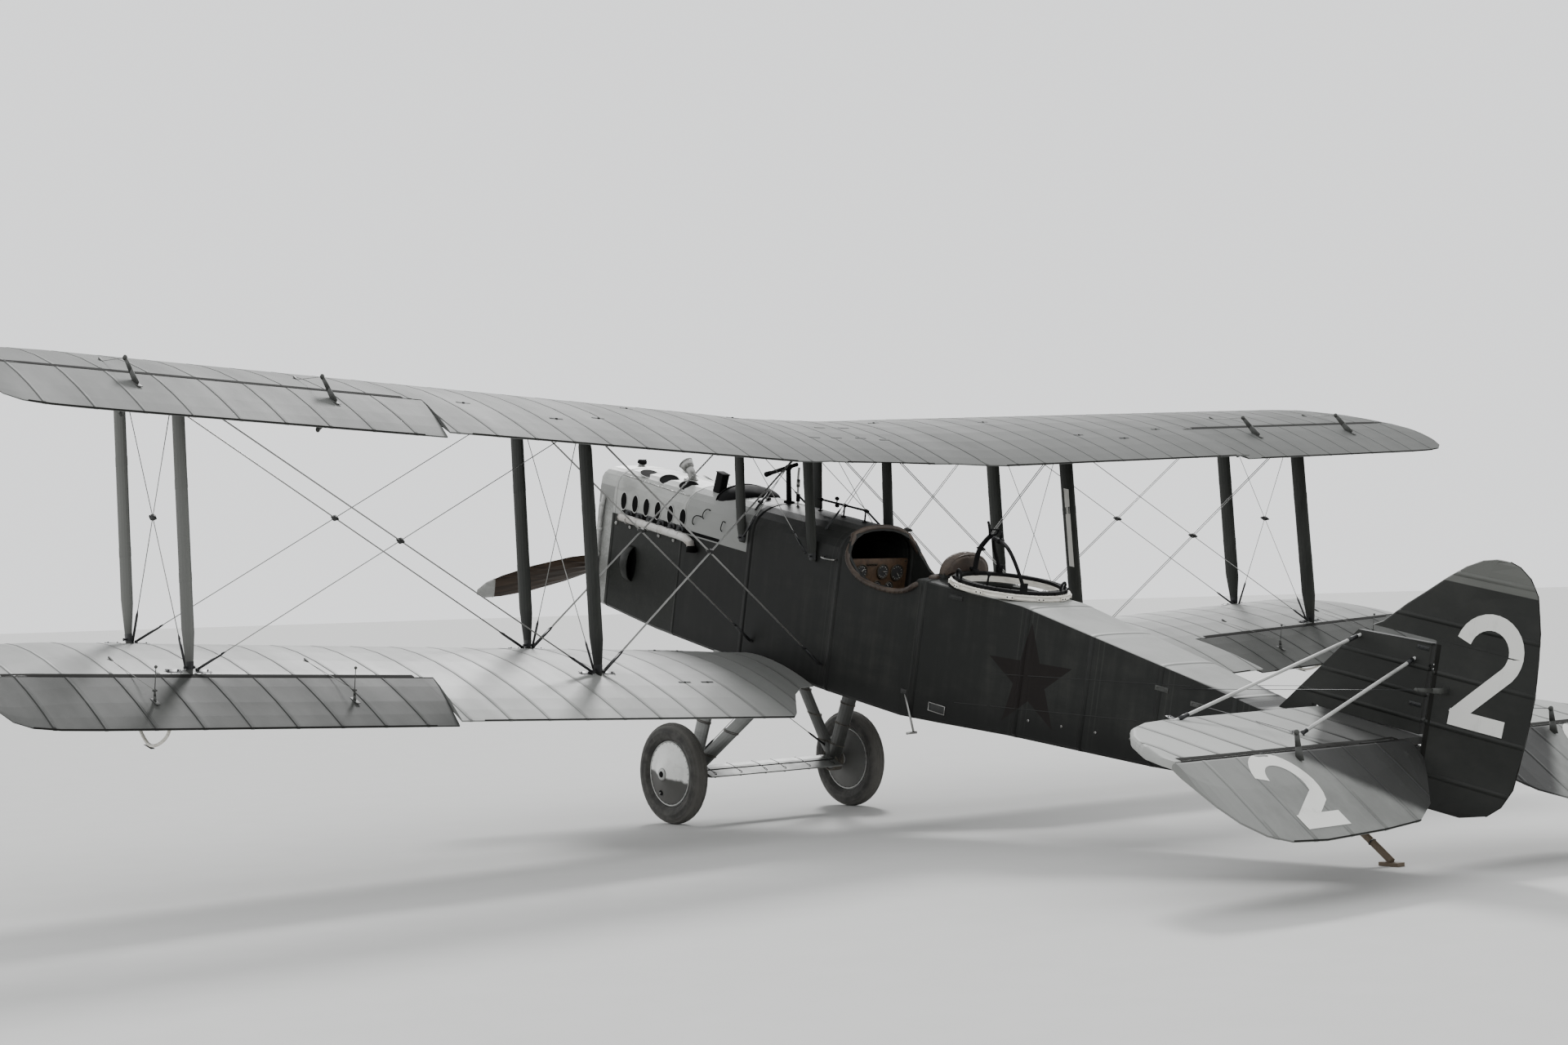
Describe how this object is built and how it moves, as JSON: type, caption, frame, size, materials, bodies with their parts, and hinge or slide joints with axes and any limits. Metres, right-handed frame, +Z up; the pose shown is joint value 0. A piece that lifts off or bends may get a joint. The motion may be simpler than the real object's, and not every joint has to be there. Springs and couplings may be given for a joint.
{
  "type": "two-seat reconnaissance biplane",
  "caption": "Two-seat open-cockpit biplane with struts, disc wheels, tail skid, turning propeller, hinged ailerons, elevators and rudder, and an observer ring.",
  "frame": {"origin": "on the floor under the middle of the parked aircraft", "axes": "+X to port along the span, +Y aft, +Z up; the nose points along -Y"},
  "size_m": [14.0256, 9.2454, 3.4802],
  "materials": {
    "dark_fabric": "doped satin",
    "light_fabric": "doped satin",
    "grey_fabric": "doped satin",
    "light_metal": "painted satin",
    "dark_steel": "satin",
    "dark_wood": "varnished",
    "ash_wood": "varnished",
    "tyre": "matte",
    "leather": "satin",
    "dark_paint": "painted satin",
    "engine_metal": "cast, dull"
  },
  "bodies": {
    "airframe": {"upper_wing_center": "light_fabric", "engine_cowl": "light_metal", "radiator": "engine_metal", "engine_block": "engine_metal", "fuselage_front": "dark_fabric", "fuselage_rear": "dark_fabric", "instrument_board": "dark_wood", "pilot_seat": "leather", "observer_seat": "leather", "headrest": "leather", "gun_ring_base": "ash_wood", "stabilizer": "light_fabric", "fin": "dark_fabric", "tail_skid": "ash_wood", "axle": "light_metal", "upper_wing_left": "light_fabric", "lower_wing_left": "light_fabric", "interplane_strut_inboard_front_left": "dark_paint", "interplane_strut_inboard_rear_left": "dark_paint", "interplane_strut_outboard_front_left": "dark_paint", "interplane_strut_outboard_rear_left": "dark_paint", "cabane_strut_front_left": "dark_paint", "cabane_strut_rear_left": "dark_paint", "exhaust_left": "light_metal", "tail_brace_front_left": "light_metal", "tail_brace_rear_left": "light_metal", "gear_leg_left": "light_metal", "wing_skid_left": "ash_wood", "upper_wing_right": "light_fabric", "lower_wing_right": "light_fabric", "interplane_strut_inboard_front_right": "dark_paint", "interplane_strut_inboard_rear_right": "dark_paint", "interplane_strut_outboard_front_right": "dark_paint", "interplane_strut_outboard_rear_right": "dark_paint", "cabane_strut_front_right": "dark_paint", "cabane_strut_rear_right": "dark_paint", "exhaust_right": "light_metal", "tail_brace_front_right": "light_metal", "tail_brace_rear_right": "light_metal", "gear_leg_right": "light_metal", "wing_skid_right": "ash_wood"},
    "propeller": {"propeller": "dark_wood", "propeller_shaft": "dark_steel"},
    "wheel_left": {"wheel_left": "light_metal", "tyre_left": "tyre"},
    "wheel_right": {"wheel_right": "light_metal", "tyre_right": "tyre"},
    "rudder": {"rudder": "dark_fabric"},
    "elevators": {"elevator_left": "grey_fabric", "elevator_right": "grey_fabric"},
    "gun_ring": {"gun_ring": "dark_steel"},
    "gun_bow": {"gun_bow": "dark_steel"},
    "upper_aileron_left": {"upper_aileron_left": "grey_fabric"},
    "upper_aileron_right": {"upper_aileron_right": "grey_fabric"},
    "lower_aileron_left": {"lower_aileron_left": "grey_fabric"},
    "lower_aileron_right": {"lower_aileron_right": "grey_fabric"}
  },
  "joints": [
    {"name": "propeller_spin", "type": "hinge", "parent": "airframe", "child": "propeller", "pos_m": [0, -4.49757, 2.1838], "axis": [0, -0.9763, 0.2163], "continuous": true},
    {"name": "wheel_left_spin", "type": "hinge", "parent": "airframe", "child": "wheel_left", "pos_m": [0.93, -2.54822, 0.4], "axis": [1, 0, 0], "continuous": true},
    {"name": "wheel_right_spin", "type": "hinge", "parent": "airframe", "child": "wheel_right", "pos_m": [-0.93, -2.54822, 0.4], "axis": [1, 0, 0], "continuous": true},
    {"name": "upper_aileron_left_hinge", "type": "hinge", "parent": "airframe", "child": "upper_aileron_left", "pos_m": [3.9, -1.29588, 3.11473], "axis": [0.9989, 0.0102, 0.0462], "range_deg": [-20, 20]},
    {"name": "upper_aileron_right_hinge", "type": "hinge", "parent": "airframe", "child": "upper_aileron_right", "pos_m": [-3.9, -1.29588, 3.11473], "axis": [-0.9989, 0.0102, 0.0462], "range_deg": [-20, 20]},
    {"name": "lower_aileron_left_hinge", "type": "hinge", "parent": "airframe", "child": "lower_aileron_left", "pos_m": [3.9, -1.23388, 1.24917], "axis": [0.9989, 0.0102, 0.0462], "range_deg": [-20, 20]},
    {"name": "lower_aileron_right_hinge", "type": "hinge", "parent": "airframe", "child": "lower_aileron_right", "pos_m": [-3.9, -1.23388, 1.24917], "axis": [-0.9989, 0.0102, 0.0462], "range_deg": [-20, 20]},
    {"name": "elevator_hinge", "type": "hinge", "parent": "airframe", "child": "elevators", "pos_m": [0, 3.80684, 0.76831], "axis": [1, 0, 0], "range_deg": [-5, 52]},
    {"name": "rudder_hinge", "type": "hinge", "parent": "airframe", "child": "rudder", "pos_m": [0, 3.84762, 0.9293], "axis": [0, 0.2163, 0.9763], "range_deg": [-25, 25]},
    {"name": "gun_ring_turn", "type": "hinge", "parent": "airframe", "child": "gun_ring", "pos_m": [0, 0.33639, 1.80725], "axis": [0, 0.2163, 0.9763], "continuous": true},
    {"name": "gun_bow_tilt", "type": "hinge", "parent": "gun_ring", "child": "gun_bow", "pos_m": [0, 0.34764, 1.85802], "axis": [0.5299, 0.828, -0.1834], "range_deg": [-30, 64]}
  ],
  "couplings": [
    {"joint": "upper_aileron_right_hinge", "follows": "upper_aileron_left_hinge", "ratio": 1},
    {"joint": "lower_aileron_left_hinge", "follows": "upper_aileron_left_hinge", "ratio": 1},
    {"joint": "lower_aileron_right_hinge", "follows": "upper_aileron_left_hinge", "ratio": 1}
  ]
}
